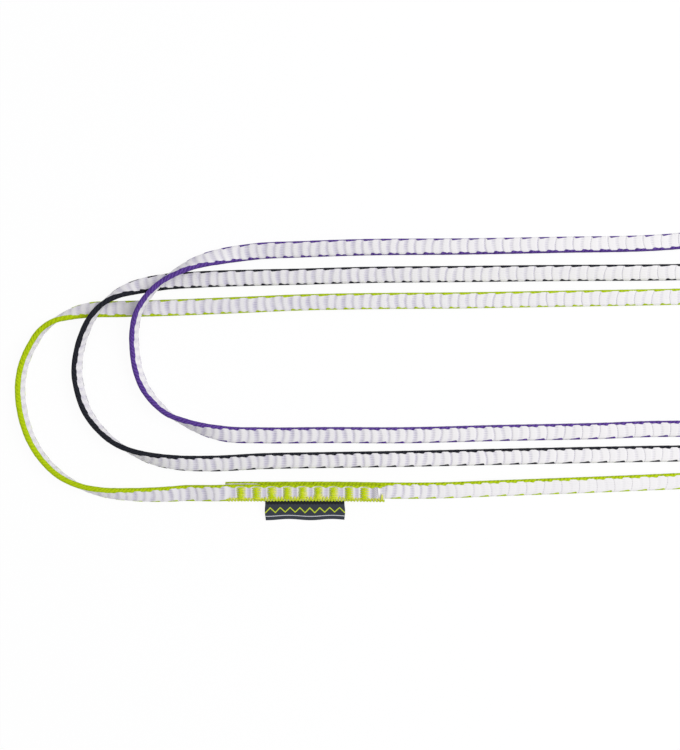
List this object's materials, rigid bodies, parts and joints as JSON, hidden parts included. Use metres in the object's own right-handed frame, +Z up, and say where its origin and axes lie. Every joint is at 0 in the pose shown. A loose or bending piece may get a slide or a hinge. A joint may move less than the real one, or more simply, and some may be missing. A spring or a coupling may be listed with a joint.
{
  "type": "climbing sling",
  "caption": "Sewn climbing slings lying overlapped: narrow ribbed webbing loops with coloured edges, each closed by a lap held by bar tacks with a folded cloth label.",
  "frame": {"origin": "on the table under the middle of the set's box", "axes": "+X along the long runs, +Y across them towards the violet and black laps, +Z up off the table"},
  "size_m": [0.5916, 0.1559, 0.0139],
  "materials": {
    "white_yarn": "matt ribbed weave",
    "green_yarn": "matt edge weave",
    "black_yarn": "matt edge weave",
    "violet_yarn": "matt edge weave",
    "green_thread": "satin sewing thread",
    "black_thread": "satin sewing thread",
    "violet_thread": "satin sewing thread",
    "label_tape": "fine satin-woven tape"
  },
  "bodies": {
    "green_sling": {"green_webbing": "white_yarn", "green_inner_edge": "green_yarn", "green_outer_edge": "green_yarn", "green_label_tab": "label_tape", "green_bar_tack_1": "green_thread", "green_bar_tack_2": "green_thread", "green_bar_tack_3": "green_thread", "green_bar_tack_4": "green_thread", "green_bar_tack_5": "green_thread", "green_bar_tack_6": "green_thread", "green_bar_tack_7": "green_thread", "green_bar_tack_8": "green_thread", "green_bar_tack_9": "green_thread"},
    "green_label": {"green_label_flap": "label_tape"},
    "black_sling": {"black_webbing": "white_yarn", "black_inner_edge": "black_yarn", "black_outer_edge": "black_yarn", "black_label_tab": "label_tape", "black_bar_tack_1": "black_thread", "black_bar_tack_2": "black_thread", "black_bar_tack_3": "black_thread", "black_bar_tack_4": "black_thread", "black_bar_tack_5": "black_thread", "black_bar_tack_6": "black_thread", "black_bar_tack_7": "black_thread", "black_bar_tack_8": "black_thread", "black_bar_tack_9": "black_thread"},
    "black_label": {"black_label_flap": "label_tape"},
    "violet_sling": {"violet_webbing": "white_yarn", "violet_inner_edge": "violet_yarn", "violet_outer_edge": "violet_yarn", "violet_label_tab": "label_tape", "violet_bar_tack_1": "violet_thread", "violet_bar_tack_2": "violet_thread", "violet_bar_tack_3": "violet_thread", "violet_bar_tack_4": "violet_thread", "violet_bar_tack_5": "violet_thread", "violet_bar_tack_6": "violet_thread", "violet_bar_tack_7": "violet_thread", "violet_bar_tack_8": "violet_thread", "violet_bar_tack_9": "violet_thread"},
    "violet_label": {"violet_label_flap": "label_tape"}
  },
  "joints": [
    {"name": "black_lift", "type": "slide", "parent": "green_sling", "child": "black_sling", "axis": [0, 0, 1], "range_m": [0, 0.06]},
    {"name": "violet_lift", "type": "slide", "parent": "black_sling", "child": "violet_sling", "axis": [0, 0, 1], "range_m": [0, 0.06]},
    {"name": "green_label_fold", "type": "hinge", "parent": "green_sling", "child": "green_label", "pos_m": [-0.1565, -0.0693, 0.00385], "axis": [-1, 0, 0], "range_deg": [0, 110]},
    {"name": "black_label_fold", "type": "hinge", "parent": "black_sling", "child": "black_label", "pos_m": [0.164, 0.0516, 0.00385], "axis": [1, 0, 0], "range_deg": [0, 110]},
    {"name": "violet_label_fold", "type": "hinge", "parent": "violet_sling", "child": "violet_label", "pos_m": [0.08022, 0.06692, 0.00385], "axis": [0.9981, 0.0616, 0], "range_deg": [0, 110]}
  ]
}
